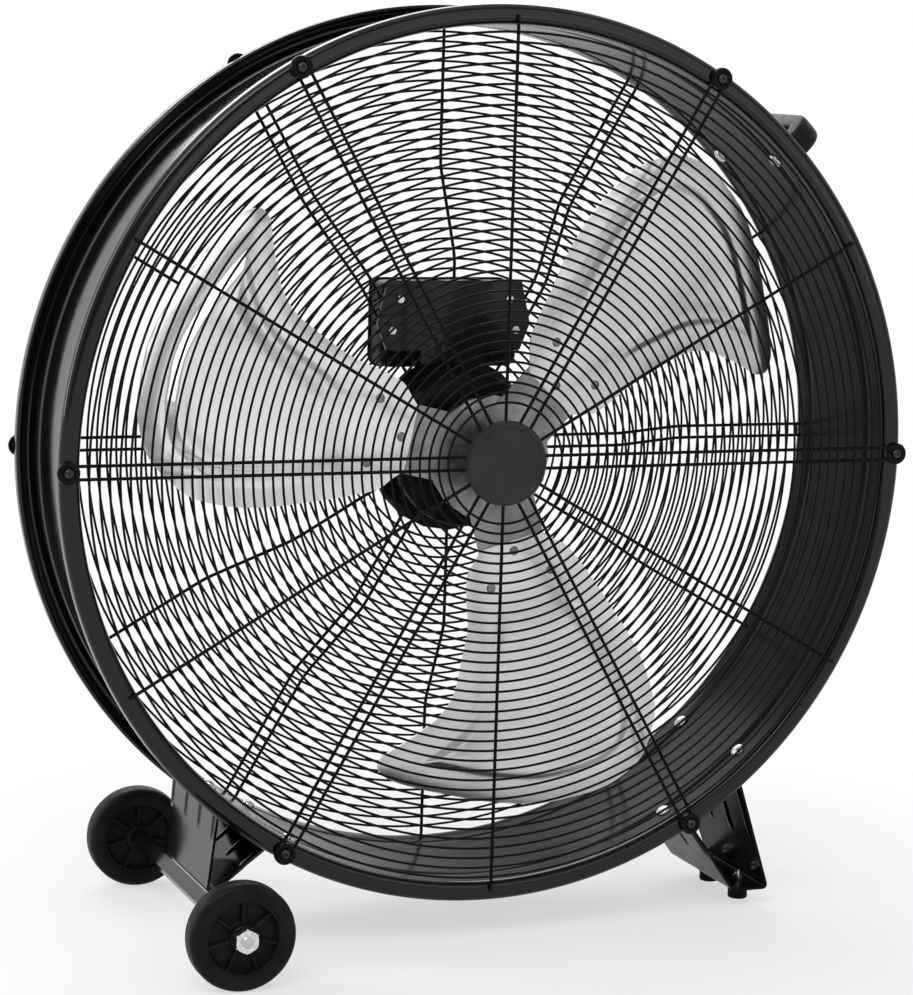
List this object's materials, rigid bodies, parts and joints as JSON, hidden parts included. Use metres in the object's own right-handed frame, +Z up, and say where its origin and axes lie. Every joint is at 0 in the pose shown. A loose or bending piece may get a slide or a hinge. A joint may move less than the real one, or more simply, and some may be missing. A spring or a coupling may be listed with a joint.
{
  "type": "drum fan",
  "caption": "Large black steel drum fan on a two-wheeled stand, with wire grilles, twisted aluminium blades, a rear speed switch and a carrying handle.",
  "frame": {"origin": "on the floor, under the middle of the drum's depth and in line with the rotor's axis", "axes": "+X to the right seen from the front, over the rubber feet; +Y to the back, along the rotor's axis; +Z up"},
  "size_m": [0.857, 0.401, 0.886],
  "materials": {
    "gloss_black_steel": "gloss black powder coat",
    "wire_black": "satin black coated wire",
    "blade_aluminium": "mill finish, softly shining",
    "spider_steel": "dull grey pressed steel",
    "motor_black": "satin black enamel",
    "shaft_steel": "ground steel",
    "black_plastic": "fine matt grain",
    "cap_plastic": "dark grey moulded, half matt",
    "black_rubber": "matt",
    "wheel_black": "hard black polymer, half matt",
    "zinc_steel": "bright zinc plate",
    "black_screw": "black oxide",
    "capacitor_white": "smooth"
  },
  "bodies": {
    "housing": {"drum_shell": "gloss_black_steel", "front_grille_rings": "wire_black", "front_grille_spokes": "wire_black", "rear_grille_rings": "wire_black", "rear_slope_rings": "wire_black", "rear_dish_rings": "wire_black", "rear_grille_spokes": "wire_black", "front_hub_plate": "gloss_black_steel", "centre_cap": "cap_plastic", "motor_mount_plate": "gloss_black_steel", "front_clips": "wire_black", "rear_clips": "wire_black", "front_clip_screws": "black_screw", "rear_clip_screws": "black_screw", "motor_body": "motor_black", "motor_front_cap": "motor_black", "motor_rear_cap": "motor_black", "motor_mount_screws": "zinc_steel", "control_box": "black_plastic", "control_box_cover": "black_plastic", "cover_screws": "black_screw", "box_screws": "zinc_steel", "speed_switch": "black_plastic", "run_capacitor": "capacitor_white", "cable_gland": "black_plastic", "right_leg": "gloss_black_steel", "left_leg": "gloss_black_steel", "leg_bolts": "zinc_steel", "leg_nuts": "zinc_steel", "foot_pads": "black_rubber", "foot_studs": "zinc_steel", "wheel_axle": "shaft_steel", "axle_sleeve": "gloss_black_steel", "axle_nuts": "zinc_steel", "handle": "black_plastic", "handle_bolts": "zinc_steel"},
    "rotor": {"motor_shaft": "shaft_steel", "hub_spider": "spider_steel", "hub_nut": "zinc_steel", "fan_blades": "blade_aluminium", "blade_rivets": "spider_steel"},
    "front_wheel": {"wheel_front": "wheel_black"},
    "rear_wheel": {"wheel_rear": "wheel_black"},
    "knob": {"speed_knob": "cap_plastic"}
  },
  "joints": [
    {"name": "rotor_spin", "type": "hinge", "parent": "housing", "child": "rotor", "pos_m": [0, 0, 0.461], "axis": [0, 1, 0], "continuous": true},
    {"name": "front_wheel_spin", "type": "hinge", "parent": "housing", "child": "front_wheel", "pos_m": [-0.276, -0.177, 0.05], "axis": [0, 1, 0], "continuous": true},
    {"name": "rear_wheel_spin", "type": "hinge", "parent": "housing", "child": "rear_wheel", "pos_m": [-0.276, 0.177, 0.05], "axis": [0, 1, 0], "continuous": true},
    {"name": "speed_knob_turn", "type": "hinge", "parent": "housing", "child": "knob", "pos_m": [0.03, 0.0922, 0.577], "axis": [0, -1, 0], "range_deg": [0, 90]}
  ]
}
